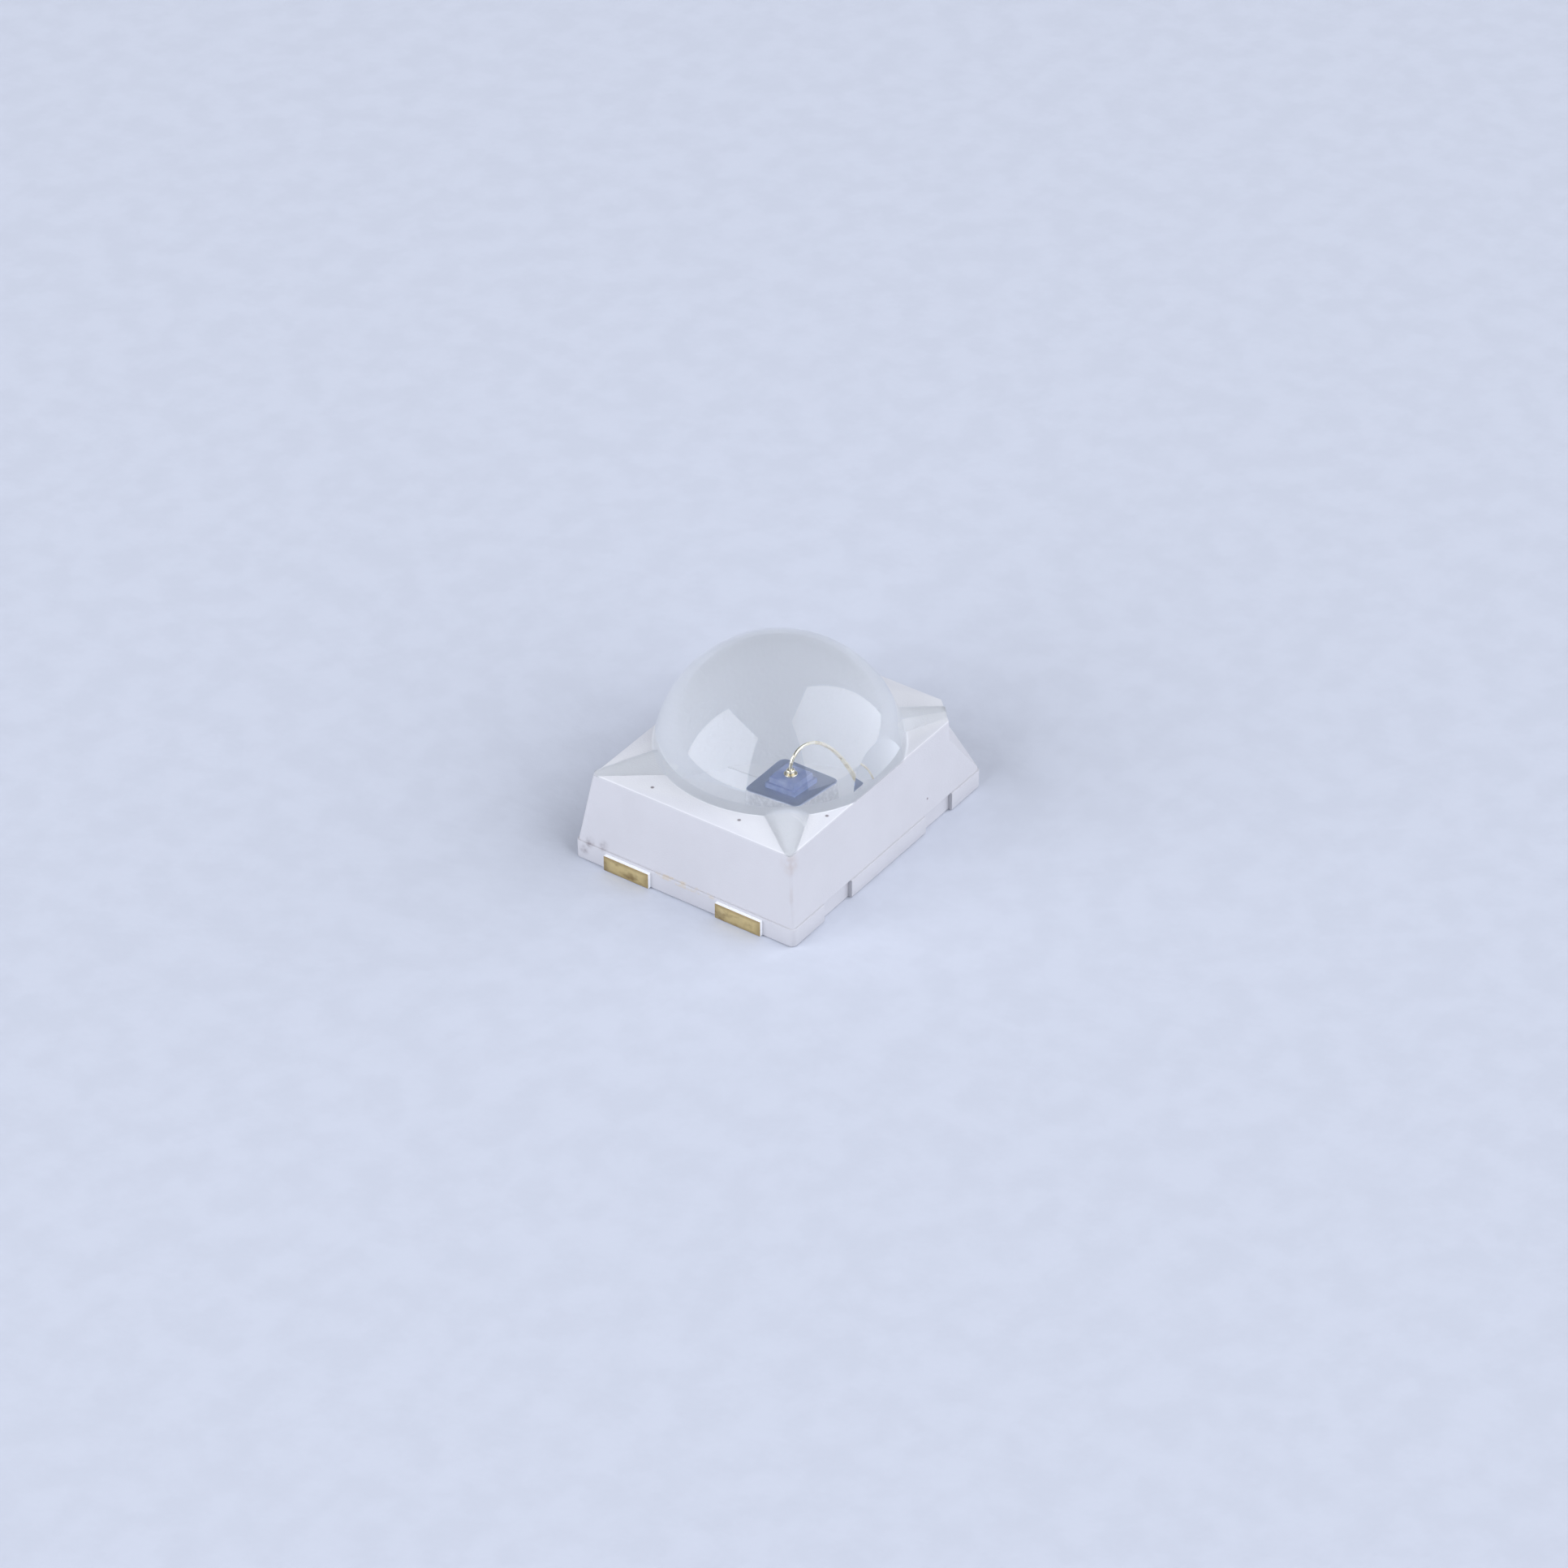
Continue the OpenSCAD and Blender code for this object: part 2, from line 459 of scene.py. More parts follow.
    def axis(self, letter: str) -> Socket:
        """One of the millimetre coordinates.

        Args:
            letter: X, Y or Z.

        Returns:
            The coordinate.
        """
        node = self.tree.nodes.new("ShaderNodeSeparateXYZ")
        self.tree.links.new(self.place, node.inputs["Vector"])
        return node.outputs[letter]

    def near(self, centre: Point, reach: float, scale: Point = (1.0, 1.0, 1.0),
             core: float = 0.2) -> Socket:
        """A soft spot round a point.

        Args:
            centre: Middle of the spot, in millimetres.
            reach: Radius at which it ends.
            scale: Stretch of the distance along the axes.
            core: Part of the radius that is full.

        Returns:
            1 in the middle and 0 outside.
        """
        shift = self.tree.nodes.new("ShaderNodeMapping")
        shift.inputs["Location"].default_value = [-c * s for c, s in zip(centre, scale)]
        shift.inputs["Scale"].default_value = scale
        self.tree.links.new(self.place, shift.inputs["Vector"])
        length = self.tree.nodes.new("ShaderNodeVectorMath")
        length.operation = "LENGTH"
        self.tree.links.new(shift.outputs["Vector"], length.inputs[0])
        return self.ramp(length.outputs["Value"], reach, reach * core)

    def mix(self, share: Socket, a: Socket | Colour,
            b: Socket | Colour) -> Socket:
        """Mixes two colours.

        Args:
            share: 0 gives the first and 1 the second.
            a: First colour, or a pattern.
            b: Second colour, or a pattern.

        Returns:
            The mixed colour.
        """
        node = self.tree.nodes.new("ShaderNodeMix")
        node.data_type = "RGBA"
        self.tree.links.new(share, node.inputs["Factor"])
        for value, name in ((a, "A"), (b, "B")):
            socket = next(s for s in node.inputs if s.name == name and s.type == "RGBA")
            if isinstance(value, tuple):
                socket.default_value = (*value, 1.0)
            else:
                self.tree.links.new(value, socket)
        return next(s for s in node.outputs if s.type == "RGBA")

    def bump(self, height: Socket, depth: float) -> None:
        """Gives the surface a relief.

        Args:
            height: The relief's pattern.
            depth: Its depth in millimetres.
        """
        node = self.tree.nodes.new("ShaderNodeBump")
        node.inputs["Strength"].default_value = 1.0
        node.inputs["Distance"].default_value = depth * MM
        self.tree.links.new(height, node.inputs["Height"])
        self.tree.links.new(node.outputs["Normal"], self.shader.inputs["Normal"])


@dataclass(frozen=True)
class WhiteMoulding:
    """Matt white moulded housing, with painted light on the top, in the cup and under the lens, and dirt
    and a brown darkening outside.

    The top has three tones, all painted light: the bare top painted paler than the sides, painted
    highlights in bands beside the lens's corner ridges, and the palest white under the ridges, painted to
    make up for the light that the resin takes away. The cup and the top under the dome are painted paler
    than the sides too. Places are in millimetres.
    """

    outside: Colour = (0.542, 0.537, 0.56)
    cloudy: float = 0.965
    # painted light: the cup and the top under the dome are painted much paler than the sides
    inside: Colour = (0.96, 0.972, 0.992)
    # painted light: the bare top is painted paler than the sides
    top: Colour = (0.77, 0.77, 0.795)
    # painted light: the white under the corner ridges is painted palest, to make up for light the resin
    # takes away
    under: Colour = (0.985, 0.987, 0.99)
    # painted highlight: paler bands beside the corner ridges
    band: Colour = (0.80, 0.80, 0.815)
    edge_brown: Colour = (0.42, 0.34, 0.30)
    dark: Colour = (0.10, 0.06, 0.07)
    flash: Colour = (0.55, 0.46, 0.33)
    # heights between which the top's painted paler tone begins
    top_zone: Pair = (1.022, 1.028)
    # place and reach of the top under the dome and of the cup, which are painted paler as painted light
    dome_foot: tuple[Point, float] = ((0.0, 0.0, 1.03), 1.36)
    cup_zone: tuple[Point, float] = ((0.0, 0.0, 0.6), 1.24)
    # tip and angles of the painted highlight bands and of the palest painted white under the ridges
    point: Pair = (1.7281, 1.3524)
    spread: float = 15.0
    blur: float = 0.3
    bands: Pair = (39.0, 26.0)
    fades: Pair = (2.0, 6.0)
    # brown darkening at the near corner's top and down its upright edge
    corner_darkening: Point = (-1.62, -1.27, 0.93)
    edge_darkening: Point = (-1.68, -1.33, 0.6)
    seam: Point = (-1.75, 0.0, 0.205)
    dirt: tuple[Point, ...] = ((-1.39, -0.46, 1.03), (-0.81, -1.16, 1.03), (-1.44, 0.61, 1.03))
    smudges: tuple[Point, ...] = ((-1.73, 1.05, 0.26), (-1.74, 1.22, 0.24), (-1.75, 1.28, 0.13))

    def highlight_fade(self, turn: float, way: int = 1) -> Pair:
        """Angles, in radians, between which a painted highlight band beside a corner ridge fades in.

        Args:
            turn: Where the band ends, in degrees from the ridge's middle.
            way: 1 for a band that lies below this angle, -1 for one above it.

        Returns:
            The angle at which it starts and the one at which it is full.
        """
        before, past = self.fades
        return math.radians(turn + before * way), math.radians(turn - past * way)

    def ridge_painted_light(self, r: Recipe) -> tuple[Socket, Socket]:
        """Fields of painted light on the top, by their angle at the tip of the nearest corner ridge.

        Args:
            r: The material.

        Returns:
            1 in the painted highlight bands, and 1 under the ridges, where the white is painted palest.
        """
        run_x, run_y = (
            r.math("ADD", r.times(r.size(r.axis(letter)), -1.0), tip)
            for letter, tip in zip("XY", self.point)
        )
        middle = math.atan2(self.point[1], self.point[0])
        turn = r.math("SUBTRACT", r.math("ARCTAN2", run_y, run_x), middle)
        one_side, other_side = self.bands
        # painted highlight: bands at given angles beside each corner ridge
        highlight_mask = r.times(r.ramp(turn, *self.highlight_fade(one_side)), r.ramp(turn, *self.highlight_fade(-other_side, -1)))
        # angles of the white under the ridges, which is painted palest as painted light
        outer, inner = (math.radians(self.spread + d) for d in (self.blur, -self.blur))
        return highlight_mask, r.ramp(r.size(turn), outer, inner)

    def toned(self, r: Recipe) -> tuple[Socket, Socket]:
        """Tones of the white, with the painted light in the cup, on the top and under the lens.

        Args:
            r: The material.

        Returns:
            The colour, and 1 in the cup and under the dome.
        """
        shaded = tuple(c * self.cloudy for c in self.outside)
        outer = r.mix(r.ramp(r.noise(1.6, 4.0), 0.35, 0.7), self.outside, shaded)
        # painted light: the top is painted paler than the sides
        top = r.ramp(r.axis("Z"), *self.top_zone)
        # painted light: the top under the dome and the cup take the paler painted tone
        below = r.times(top, r.near(*self.dome_foot, core=0.98))
        cup = r.most(below, r.near(*self.cup_zone, (1.0, 1.0, 0.05), 0.97))
        highlight_mask, under = self.ridge_painted_light(r)
        # painted highlight in the bands, and painted palest white under the ridges
        painted_top_tones = r.mix(under, r.mix(highlight_mask, self.top, self.band), self.under)
        return r.mix(cup, r.mix(top, outer, painted_top_tones), self.inside), cup

    def dirt_and_darkening(self, r: Recipe, colour: Socket, cup: Socket) -> Socket:
        """Adds the brown darkening at the near corner's top and down its upright edge, the specks, the
        smudges and the flash along the seam.

        Args:
            r: The material.
            colour: Colour of the white, with its painted light.
            cup: 1 where no specks lie.

        Returns:
            The colour with the dirt and the darkening.
        """
        # brown darkening at the near corner's top and down its upright edge
        corner_darkening = r.times(r.near(self.corner_darkening, 0.16), r.ramp(r.noise(9.0), 0.3, 0.7))
        darkened = r.near(self.edge_darkening, 0.05, (1.0, 1.0, 0.1))
        edge = r.times(darkened, r.ramp(r.noise(5.0), 0.35, 0.75))
        colour = r.mix(r.times(r.most(corner_darkening, edge), 0.5), colour, self.edge_brown)
        bare = r.math("ADD", r.times(cup, -1.0), 1.0)
        spots = r.times(r.specks(2.6, 0.055, 0.22), r.times(bare, 0.8))
        for place in self.dirt:
            spots = r.most(spots, r.times(r.near(place, 0.026, core=0.45), 0.75))
        for place in self.smudges:
            patchy = r.ramp(r.noise(16.0), 0.35, 0.75, 0.1, 0.55)
            spots = r.most(spots, r.times(r.near(place, 0.085), patchy))
        colour = r.mix(spots, colour, self.dark)
        line = r.near(self.seam, 0.44, (1.0, 1.0, 12.0), 0.8)
        seam = r.times(line, r.ramp(r.noise(14.0, 4.0), 0.45, 0.62))
        return r.mix(r.times(seam, 0.55), colour, self.flash)

    def make(self) -> bpy.types.Material:
        """Builds the material.

        Returns:
            The material.
        """
        r = Recipe("white_moulding")
        r.set(Roughness=0.5, IOR=1.48)
        colour, cup = self.toned(r)
        r.feed("Base Color", self.dirt_and_darkening(r, colour, cup))
        grain = r.math("ADD", r.noise(60.0, 2.0), r.times(r.noise(7.0), 0.8))
        r.bump(grain, 0.0022)
        return r.material


@dataclass(frozen=True)
class ClearResin:
    """Clear glossy lens resin with a barely uneven skin."""

    tint: Colour = (0.96, 0.981, 1.0)
    warm: Colour = (0.97, 0.985, 1.0)
    bend: float = 1.52

    def make(self) -> bpy.types.Material:
        """Builds the material.

        Returns:
            The material.
        """
        r = Recipe("clear_resin")
        r.set(IOR=self.bend, Transmission_Weight=1.0)
        r.feed("Base Color", r.mix(r.noise(1.2), self.tint, self.warm))
        r.feed("Roughness", r.ramp(r.noise(4.0, 4.0), 0.3, 0.8, 0.012, 0.045))
        r.bump(r.noise(2.2, 1.0), 0.0012)
        return r.material


@dataclass(frozen=True)
class PlatedSilver:
    """Silver plating on the faces of the lead frame."""

    bright: Colour = (0.98, 0.984, 0.992)
    dull: Colour = (0.945, 0.95, 0.962)

    def make(self) -> bpy.types.Material:
        """Builds the material.

        Returns:
            The material.
        """
        r = Recipe("plated_silver")
        r.set(Metallic=0.1)
        streaks = r.noise(6.0, 4.0, r.stretched((1.0, 5.0, 5.0)))
        r.feed("Base Color", r.mix(r.ramp(streaks, 0.35, 0.75), self.bright, self.dull))
        r.feed("Roughness", r.ramp(streaks, 0.3, 0.8, 0.38, 0.55))
        r.bump(streaks, 0.003)
        return r.material


@dataclass(frozen=True)
class ShearedBrass:
    """Bare brass where the leads were sheared off: yellow, with dark smeared edges."""

    yellow: Colour = (0.67, 0.54, 0.275)
    brown: Colour = (0.26, 0.17, 0.07)
    pitch: float = 1.43
    width: float = 0.58
    height: float = 0.19
    side_dark: float = 0.55
    rim_dark: float = 0.75
    smear_dark: float = 0.85

    def make(self) -> bpy.types.Material:
        """Builds the material.

        Returns:
            The material.
        """
        r = Recipe("sheared_brass")
        r.set(Metallic=0.85)
        from_lead = r.math("SUBTRACT", r.size(r.axis("Y")), self.pitch / 2)
        side = r.ramp(r.size(from_lead), self.width * 0.3, self.width * 0.52)
        from_middle = r.math("SUBTRACT", r.axis("Z"), self.height * 0.47)
        rim = r.ramp(r.size(from_middle), self.height * 0.2, self.height * 0.55)
        smear = r.ramp(r.noise(4.5, 4.0, r.stretched((1.0, 1.0, 1.6))), 0.45, 0.68)
        edges = r.most(r.times(side, self.side_dark), r.times(rim, self.rim_dark))
        darkened = r.most(edges, r.times(smear, self.smear_dark))
        r.feed("Base Color", r.mix(darkened, self.yellow, self.brown))
        r.feed("Roughness", r.ramp(r.noise(18.0), 0.2, 0.8, 0.32, 0.5))
        r.bump(r.noise(12.0, 3.0, r.stretched((1.0, 3.0, 0.6))), 0.006)
        return r.material


@dataclass(frozen=True)
class CuredPaste:
    """Grey cured silver paste, with the chip's tone on its top."""

    pale: Colour = (0.86, 0.86, 0.87)
    grey: Colour = (0.74, 0.74, 0.75)
    blue: Colour = (0.40, 0.45, 0.58)
    top_zone: Pair = (0.535, 0.543)

    def make(self) -> bpy.types.Material:
        """Builds the material.

        Returns:
            The material.
        """
        r = Recipe("cured_paste")
        r.set(Metallic=0.7, Roughness=0.48)
        grains = r.noise(45.0, 3.0)
        silver = r.mix(r.ramp(grains, 0.35, 0.7), self.grey, self.pale)
        r.feed("Base Color", r.mix(r.ramp(r.axis("Z"), *self.top_zone), silver, self.blue))
        r.bump(grains, 0.004)
        return r.material


@dataclass(frozen=True)
class ChipCrystal:
    """Polished dark blue-grey semiconductor."""

    blue: Colour = (0.27, 0.335, 0.58)
    grey: Colour = (0.40, 0.465, 0.67)

    def make(self) -> bpy.types.Material:
        """Builds the material.

        Returns:
            The material.
        """
        r = Recipe("chip_crystal")
        r.set(IOR=2.4)
        cloud = r.noise(7.0, 3.0)
        r.feed("Base Color", r.mix(r.ramp(cloud, 0.35, 0.7), self.blue, self.grey))
        r.feed("Roughness", r.ramp(r.noise(30.0), 0.3, 0.7, 0.12, 0.25))
        r.bump(r.noise(40.0), 0.001)
        return r.material


@dataclass(frozen=True)
class BrightGold:
    """Gold of the contact and the bond wire."""

    light: Colour = (0.98, 0.93, 0.80)
    deep: Colour = (0.92, 0.84, 0.66)

    def make(self) -> bpy.types.Material:
        """Builds the material.

        Returns:
            The material.
        """
        r = Recipe("bright_gold")
        r.set(Metallic=1.0)
        cloud = r.noise(22.0, 3.0)
        r.feed("Base Color", r.mix(r.ramp(cloud, 0.3, 0.7), self.light, self.deep))
        r.feed("Roughness", r.ramp(cloud, 0.3, 0.7, 0.16, 0.32))
        r.bump(cloud, 0.002)
        return r.material


@dataclass(frozen=True)
class Paper:
    """Pale bluish paper under the part."""

    light: Colour = (0.626, 0.654, 0.7245)
    dark: Colour = (0.602, 0.629, 0.697)

    def make(self) -> bpy.types.Material:
        """Builds the material.

        Returns:
            The material.
        """
        r = Recipe("paper")
        r.set(Roughness=0.92)
        fibres = r.noise(2.2, 6.0)
        r.feed("Base Color", r.mix(r.ramp(fibres, 0.35, 0.65), self.dark, self.light))
        r.bump(r.noise(9.0, 5.0), 0.004)
        return r.material


@dataclass
class Piece:
    """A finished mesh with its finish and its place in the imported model."""

    thing: Solid
    node: str
    slot: str

    def dress(self, *materials: bpy.types.Material) -> "Piece":
        """Gives the mesh its materials.

        Args:
            materials: The materials, in the order of the faces' material numbers.

        Returns:
            The same piece.
        """
        numbers = [face.material_index for face in self.thing.data.polygons]
        self.thing.data.materials.clear()
        for material in materials:
            self.thing.data.materials.append(material)
        for face, number in zip(self.thing.data.polygons, numbers):
            face.material_index = number if number < len(materials) else 0
        return self

    def seat(self) -> None:
        """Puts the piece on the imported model's body in place of its solid."""
        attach(self.thing, "root")
        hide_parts(self.node)
        LOG.info("%s stands for %s", self.thing.name, self.node)


@dataclass
class Housing:
    """The white moulding with its flange, leaning sides, cup, notches and polarity corner."""

    length: float = 3.5
    width: float = 2.8
    height: float = 1.03
    draft: float = 0.14
    flange: float = 0.22
    step: float = 0.02
    flange_round: float = 0.06
    edge_round: float = 0.03
    top_round: float = 0.02
    notch: Point = (0.5, 0.05, 1.88)
    mark_leg: float = 0.3
    mark_z: float = 0.82
    cup_mouth: float = 1.12
    cup_floor: float = 0.85
    sheet: float = 0.19
    clear: float = 0.004
    flange_soft: float = 0.012
    past: float = 0.1
    headroom: float = 1.0

    @property
    def cup_slope(self) -> float:
        """How much wider the cup grows for each millimetre of height."""
        return (self.cup_mouth - self.cup_floor) / (self.height - self.sheet)

    def inset(self, z: float) -> float:
        """Distance of a leaning side inside the flange at a height."""
        return self.step + (self.draft - self.step) / (self.height - self.flange) * (z - self.flange)

    def half(self, z: float) -> Pair:
        """Half the length and half the width of the leaning block at a height."""
        return self.length / 2 - self.inset(z), self.width / 2 - self.inset(z)

    def block(self, name: str, low: float, high: float, within: float = 0.0,
              soft: float = 0.0) -> Solid:
        """Block with four leaning sides and rounded upright edges.

        Args:
            name: Name of the block.
            low: Height of its bottom.
            high: Height of its top.
            within: How far its sides lie inside the housing's.
            soft: Rounding of its top edges.

        Returns:
            The block.
        """
        low_x, low_y = (h - within for h in self.half(low))
        high_x, high_y = (h - within for h in self.half(high))
        piece = Bench.box(name, (-low_x, -low_y, low), (low_x, low_y, high))
        Bench.pick(piece, Pick.FACES, faces_up)
        bpy.ops.transform.resize(
            value=(high_x / low_x, high_y / low_y, 1.0), center_override=(0.0, 0.0, high)
        )
        Bench.clear()
        Bench.round_edges(piece, self.edge_round, 4, upright)
        if soft:
            Bench.round_edges(piece, soft, 4, above(high - HAIR))
        return piece

    def corner_cutter(self, top: float, deeper: float = 0.0) -> Solid:
        """Cutter for the polarity corner: upright above, then a ramp out to the flange's corner.

        Args:
            top: Height that the cutter reaches.
            deeper: How much further in it cuts.

        Returns:
            The cutter.
        """
        corner_x, corner_y = self.half(self.height)
        depth = self.mark_leg / math.sqrt(2) + deeper
        foot = (self.inset(self.height) - self.step) * math.sqrt(2)
        wide = 2 * self.mark_leg
        cutter = Bench.box("corner_cutter", (-depth, -wide, self.flange), (self.width, wide, top))
        ramp = (self.flange - self.mark_z, 0.0, -(depth + foot))
        Bench.slice_off(cutter, (-depth, 0.0, self.mark_z), ramp)
        cutter.rotation_euler.z = math.radians(-45)
        cutter.location = (corner_x, -corner_y, 0.0)
        return Bench.fix(cutter)

    def build(self, leads: list[Solid]) -> Piece:
        """Models the moulding round the lead frame.

        Args:
            leads: Solids of the lead frame, which are used up to cut their beds.

        Returns:
            The housing.
        """
        x, y = self.length / 2, self.width / 2
        body = Bench.box("white_housing", (-x, -y, 0.0), (x, y, self.flange))
        Bench.round_edges(body, self.flange_round, 6, upright)
        Bench.round_edges(body, self.flange_soft, 2, level)
        sides = self.block("sides", self.flange - self.step, self.height, soft=self.top_round)
        Bench.blend(body, sides, Blend.JOIN)
        cup = Bench.drum(
            "cup", self.cup_floor, self.cup_mouth + self.past * self.cup_slope,
            self.sheet - self.clear, self.height + self.past,
        )
        Bench.blend(body, cup, Blend.CUT)
        long, deep, pitch = self.notch
        for side_x, side_y in CORNERS:
            middle, face = side_x * pitch / 2, side_y * y
            low = (middle - long / 2, face - deep, -self.past)
            notch = Bench.box("notch", low, (middle + long / 2, face + deep, self.flange))
            Bench.blend(body, notch, Blend.CUT)
        Bench.blend(body, self.corner_cutter(self.height + self.headroom), Blend.CUT)
        for lead in leads:
            Bench.blend(body, lead, Blend.CUT)
        return Piece(Bench.settle(body, 25.0), "housing", "white_moulding")


@dataclass
class LeadFrame:
    """The two stamped halves of the lead frame with their four flat leads."""

    sheet: float = 0.19
    tip: float = 0.58
    pitch: float = 1.43
    end: float = 1.79
    shoulder: float = 1.25
    plate: float = 1.96
    gap: Pair = (0.41, 0.55)
    lap: float = 0.1
    soft: float = 0.008
    shear_depth: float = 0.02

    def solid(self, end: End) -> Solid:
        """One half with sharp edges.

        Args:
            end: Which half.

        Returns:
            The half.
        """
        s = end.value
        inner = self.gap[0] if end is End.CHIP else self.gap[1]
        half = self.plate / 2
        low_x, high_x = sorted((inner, s * self.shoulder))
        name = f"{end.name.lower()}_side_lead"
        piece = Bench.box(name, (low_x, -half, 0.0), (high_x, half, self.sheet))
        low_x, high_x = sorted((s * (self.shoulder - self.lap), s * self.end))
        half = self.tip / 2
        for side in (-1, 1):
            middle = side * self.pitch / 2
            tip = Bench.box("tip", (low_x, middle - half, 0.0), (high_x, middle + half, self.sheet))
            Bench.blend(piece, tip, Blend.JOIN)
        return piece

    def build(self, end: End) -> Piece:
        """Models one half with its sheared ends.

        Args:
            end: Which half.

        Returns:
            The half, with the sheared faces as its second material.
        """
        piece = self.solid(end)
        Bench.soften(piece, self.soft, 2)
        for face in piece.data.polygons:
            outward = face.normal.x * end.value > 0.8
            face.material_index = int(outward and abs(face.center.x) > self.end - self.shear_depth)
        return Piece(Bench.settle(piece), f"{end.name.lower()}_lead", "lead_metal")


@dataclass
class ChipStack:
    """The chip on its bed of paste, with its raised layer and round contact."""

    side: float = 0.24
    height: float = 0.15
    layer: float = 0.04
    ledge: float = 0.02
    at_x: float = 0.12
    floor: float = 0.19
    seat: float = 0.28
    paste: float = 0.355
    paste_out: float = 0.10
    paste_round: float = 0.05
    paste_soft: float = 0.012
    chip_soft: float = 0.006
    contact: Pair = (0.045, 0.012)
    contact_soft: float = 0.005

    @property
    def top(self) -> float:
        """Height of the chip's top."""
        return self.floor + self.seat + self.height

    def bed(self) -> Piece:
        """Models the paste, a block that reaches up round the chip's foot.

        Returns:
            The paste.
        """
        half, top = self.side / 2 + self.paste_out, self.floor + self.paste
        low = (self.at_x - half, -half, self.floor)
        piece = Bench.box("paste_bed", low, (self.at_x + half, half, top))
        Bench.round_edges(piece, self.paste_round, 6, upright)
        Bench.round_edges(piece, self.paste_soft, 3, above(top - HAIR))
        return Piece(Bench.settle(piece, 60.0), "silver_paste", "silver_paste")

    def crystal(self) -> Piece:
        """Models the chip and raises its light-giving layer from an inset of its top.

        Returns:
            The chip.
        """
        half = self.side / 2
        low = (self.at_x - half, -half, self.floor + self.seat)
        piece = Bench.box("chip", low, (self.at_x + half, half, self.top - self.layer))
        Bench.pick(piece, Pick.FACES, faces_up)
        bpy.ops.mesh.inset(thickness=self.ledge, use_even_offset=True)
        bpy.ops.mesh.extrude_region_move(TRANSFORM_OT_translate={"value": (0.0, 0.0, self.layer)})
        Bench.clear()
        Bench.soften(piece, self.chip_soft, 2)
        return Piece(Bench.settle(piece), "led_chip", "chip")

    def pad(self) -> Piece:
        """Models the contact with a rounded rim.

        Returns:
            The contact.
        """
        radius, thick = self.contact
        at = (self.at_x, 0.0, 0.0)
        piece = Bench.drum("contact_pad", radius, radius, self.top, self.top + thick, at, 64)
        Bench.soften(piece, self.contact_soft, 3)
        return Piece(Bench.settle(piece), "chip_contact", "gold")


@dataclass
class BondWire:
    """The gold wire from the pressed ball on the chip to its foot on the plate."""

    chip: ChipStack
    wire: float = 0.012
    ball: Pair = (0.03, 0.03)
    loop: float = 0.14
    foot_x: float = 0.68
    ball_soft: float = 0.013
    foot_soft: float = 0.004
    foot_bury: float = 0.6

    def build(self) -> Piece:
        """Models the ball, the loop and the foot and joins them.

        Returns:
            The wire.
        """
        base = self.chip.top + self.chip.contact[1]
        radius, high = self.ball
        at, floor = (self.chip.at_x, 0.0, 0.0), self.chip.floor
        ball = Bench.drum("gold_wire", radius, radius, base, base + high, at, 48)
        Bench.soften(ball, self.ball_soft, 5)
        at = (self.foot_x, 0.0, 0.0)
        foot = Bench.drum("foot", self.wire * 3, self.wire, floor, floor + self.wire, at, 32)
        Bench.soften(foot, self.foot_soft, 2)
        Bench.clear()
        bpy.ops.curve.primitive_bezier_curve_add()
        line = bpy.context.object
        top = base + high + self.loop
        curve = line.data
        first, last = curve.splines[0].bezier_points
        for point in (first, last):
            point.handle_left_type = point.handle_right_type = "FREE"
        first.co = (self.chip.at_x, 0.0, base + high / 2)
        first.handle_left = first.co
        first.handle_right = (self.chip.at_x, 0.0, top + self.loop / 2)
        last.co = (self.foot_x, 0.0, floor + self.wire * self.foot_bury)
        last.handle_left = ((self.chip.at_x + self.foot_x) / 2 + self.loop, 0.0, top)
        last.handle_right = last.co
        curve.dimensions = "3D"
        curve.resolution_u = 48
        curve.bevel_depth = self.wire
        curve.bevel_resolution = 6
        curve.use_fill_caps = True
        Bench.take(line)
        bpy.ops.object.convert(target="MESH")
        loop = Bench.fix(bpy.context.object)
        Bench.clear()
        for part in (foot, loop, ball):
            part.select_set(True)
        bpy.context.view_layer.objects.active = ball
        bpy.ops.object.join()
        return Piece(Bench.settle(ball, 50.0), "bond_wire", "gold")


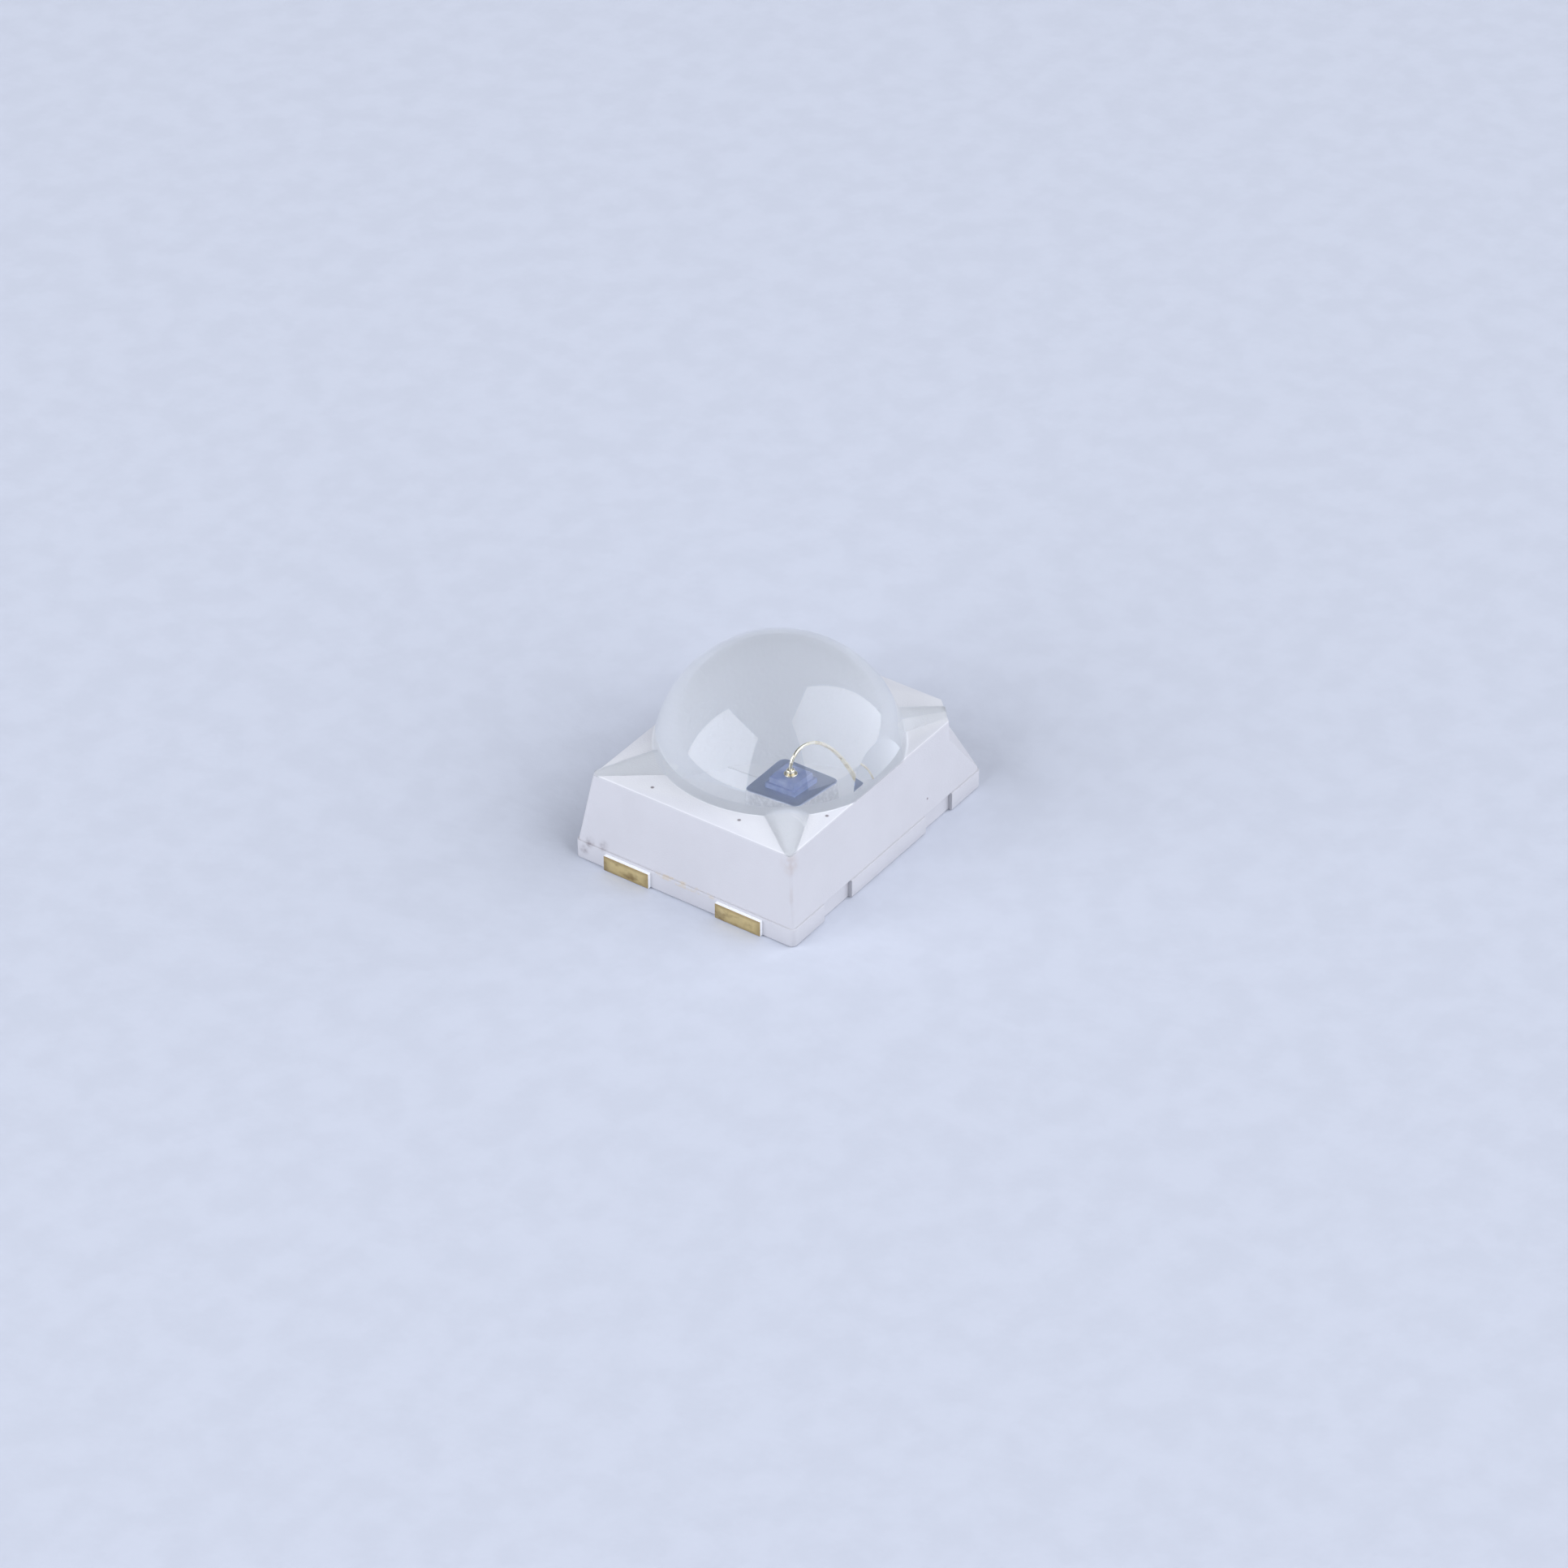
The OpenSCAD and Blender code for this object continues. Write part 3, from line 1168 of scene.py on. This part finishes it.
@dataclass
class DomeLens:
    """The clear resin: cup filling, dome and four corner ridges in one solid."""

    housing: Housing
    radius: float = 1.35
    rise: float = 1.16
    crest: float = 0.11
    spread: float = 15.0
    start: float = 0.15
    sink: float = 0.008
    clear: float = 0.003
    overfill: float = 0.03
    inner_share: float = 0.8
    trim_room: float = 0.1
    cut_room: float = 0.2
    ridge_sides: int = 256
    facets: tuple[int, int] = (192, 96)

    def ridge(self, side_x: int, side_y: int) -> Solid:
        """Low rounded ridge from one corner of the housing to the dome.

        Args:
            side_x: Side of the corner along the housing.
            side_y: Side of the corner across the housing.

        Returns:
            The ridge.
        """
        half_x, half_y = self.housing.half(self.housing.height)
        corner = Vector((side_x * half_x, side_y * half_y, 0.0))
        reach = corner.length + self.start
        outward = corner.normalized()
        point = outward * reach + Vector((0.0, 0.0, self.housing.height))
        climb = math.atan2(self.crest, reach - self.radius)
        side = 1 / math.cos(math.radians(self.spread))
        open_angle = math.atan((side - math.cos(climb)) / math.sin(climb))
        drop = open_angle - climb
        back = outward * math.cos(drop) + Vector((0.0, 0.0, math.sin(drop)))
        long = (reach - self.inner_share * self.radius) / math.cos(drop)
        Bench.clear()
        bpy.ops.mesh.primitive_cone_add(
            vertices=self.ridge_sides, radius1=long * math.tan(open_angle), radius2=0.0, depth=long,
            location=point - back * long / 2, rotation=back.to_track_quat("Z", "Y").to_euler(),
        )
        return Bench.fix(bpy.context.object)

    def build(self) -> Piece:
        """Models the lens.

        Returns:
            The lens.
        """
        h = self.housing
        top_z = h.height + self.rise
        centre = Vector((0.0, 0.0, top_z - self.radius))
        Bench.clear()
        round_about, up_down = self.facets
        bpy.ops.mesh.primitive_uv_sphere_add(
            segments=round_about, ring_count=up_down, radius=self.radius, location=centre
        )
        lens = bpy.context.object
        lens.name = "clear_lens"
        Bench.fix(lens)
        Bench.slice_off(lens, (0.0, 0.0, h.height - self.sink), (0.0, 0.0, -1.0))
        for side_x, side_y in CORNERS:
            Bench.blend(lens, self.ridge(side_x, side_y), Blend.JOIN)
        trim = h.block("trim", h.height - self.sink, top_z + self.trim_room, self.clear)
        Bench.blend(lens, trim, Blend.KEEP)
        mouth = h.cup_mouth + self.sink + h.cup_slope * self.overfill
        low, high = h.sheet - self.sink, h.height + self.overfill
        fill = Bench.drum("fill", h.cup_floor + self.sink, mouth, low, high)
        Bench.blend(lens, fill, Blend.JOIN)
        Bench.blend(lens, h.corner_cutter(top_z + self.cut_room, self.clear), Blend.CUT)
        return Piece(Bench.settle(lens, 14.0), "dome_lens", "clear_resin")


@dataclass
class Softbox:
    """A tall soft light that stands upright over the floor and faces the part."""

    name: str
    turn: float
    distance: float
    across: Pair
    up: Pair
    strength: float
    tint: Colour = (0.955, 0.985, 1.08)

    def build(self, camera_turn: float) -> None:
        """Adds the light.

        Args:
            camera_turn: The camera's turn round the part, in degrees. The light's counts from it.
        """
        turn = math.radians(camera_turn + self.turn)
        out = Vector((math.sin(turn), -math.cos(turn), 0.0))
        right = Vector((-out.y, out.x, 0.0))
        wide, high = self.across[1] - self.across[0], self.up[1] - self.up[0]
        middle = Vector((0.0, 0.0, sum(self.up) / 2))
        place = out * self.distance + right * sum(self.across) / 2 + middle
        facing = out.to_track_quat("Z", "Y").to_euler()
        Bench.clear()
        bpy.ops.object.light_add(type="AREA", location=place, rotation=facing)
        lamp = bpy.context.object
        lamp.name = self.name
        lamp.data.shape = "RECTANGLE"
        lamp.data.size = wide
        lamp.data.size_y = high
        lamp.data.color = self.tint
        lamp.data.energy = self.strength * math.pi * wide * high


@dataclass
class Studio:
    """Floor, lights, surroundings and camera."""

    turn: float = -55.0
    lift: float = 36.0
    distance: float = 60.0
    aim: Point = (-0.143, -0.152, 0.619)
    lens: float = 130.9
    reach: float = 0.2
    sensor: float = 36.0
    clip: Pair = (0.001, 10.0)
    sheet: float = 3.0
    sheet_drop: float = 0.00001
    sky: tuple[tuple[float, Colour], ...] = ((0.02, (0.52, 0.55, 0.62)), (0.30, (0.19, 0.20, 0.22)))

    def softboxes(self) -> list[Softbox]:
        """The two softboxes, in metres.

        Returns:
            The right and the left one.
        """
        d = self.reach
        return [
            Softbox("softbox_right", 75.0, d, (-1.23 * d, 1.1 * d), (0.05 * d, 3.3 * d), 2.2),
            Softbox("softbox_left", -60.0, d, (-0.6 * d, 0.6 * d), (0.02 * d, 1.28 * d), 3.2),
        ]

    def floor(self) -> None:
        """Lays the paper, a flat sheet just under the part."""
        Bench.clear()
        bpy.ops.mesh.primitive_plane_add(size=self.sheet, location=(0.0, 0.0, -self.sheet_drop))
        sheet = bpy.context.object
        sheet.name = "paper_floor"
        Bench.fix(sheet)
        sheet.data.materials.append(Paper().make())

    def surroundings(self) -> None:
        """Makes the room pale near the horizon and darker overhead."""
        world = bpy.data.worlds.new("room")
        bpy.context.scene.world = world
        world.use_nodes = True
        tree = world.node_tree
        coordinates = tree.nodes.new("ShaderNodeTexCoord")
        parts = tree.nodes.new("ShaderNodeSeparateXYZ")
        ramp = tree.nodes.new("ShaderNodeValToRGB")
        for stop, (position, colour) in zip(ramp.color_ramp.elements, self.sky):
            stop.position = position
            stop.color = (*colour, 1.0)
        background = tree.nodes["Background"]
        tree.links.new(coordinates.outputs["Generated"], parts.inputs["Vector"])
        tree.links.new(parts.outputs["Z"], ramp.inputs["Fac"])
        tree.links.new(ramp.outputs["Color"], background.inputs["Color"])
        background.inputs["Strength"].default_value = 1.0

    def camera(self) -> None:
        """Sets the camera at the photograph's angle."""
        turn, lift = math.radians(self.turn), math.radians(self.lift)
        flat = math.cos(lift)
        out = Vector((math.sin(turn) * flat, -math.cos(turn) * flat, math.sin(lift)))
        place = (Vector(self.aim) + out * self.distance) * MM
        Bench.clear()
        bpy.ops.object.camera_add(location=place, rotation=out.to_track_quat("Z", "Y").to_euler())
        eye = bpy.context.object
        eye.name = "eye"
        eye.data.sensor_width = self.sensor
        eye.data.lens = self.lens
        eye.data.clip_start, eye.data.clip_end = self.clip
        bpy.context.scene.camera = eye

    def build(self) -> None:
        """Builds the whole studio."""
        bpy.context.scene.view_settings.view_transform = "Standard"
        self.camera()
        self.floor()
        self.surroundings()
        for light in self.softboxes():
            light.build(self.turn)


def main() -> None:
    """Builds the studio, then the part's pieces in order."""
    logging.basicConfig(level=logging.INFO, format="%(name)s: %(message)s")
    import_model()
    Studio().build()
    housing, frame, chip = Housing(), LeadFrame(), ChipStack()
    silver, brass, gold = PlatedSilver().make(), ShearedBrass().make(), BrightGold().make()
    pieces = [
        housing.build([frame.solid(end) for end in End]).dress(WhiteMoulding().make()),
        frame.build(End.CHIP).dress(silver, brass),
        frame.build(End.WIRE).dress(silver, brass),
        chip.bed().dress(CuredPaste().make()),
        chip.crystal().dress(ChipCrystal().make()),
        chip.pad().dress(gold),
        BondWire(chip).build().dress(gold),
        DomeLens(housing).build().dress(ClearResin().make()),
    ]
    for piece in pieces:
        piece.seat()
    Bench.clear()


if __name__ == "__main__":
    main()
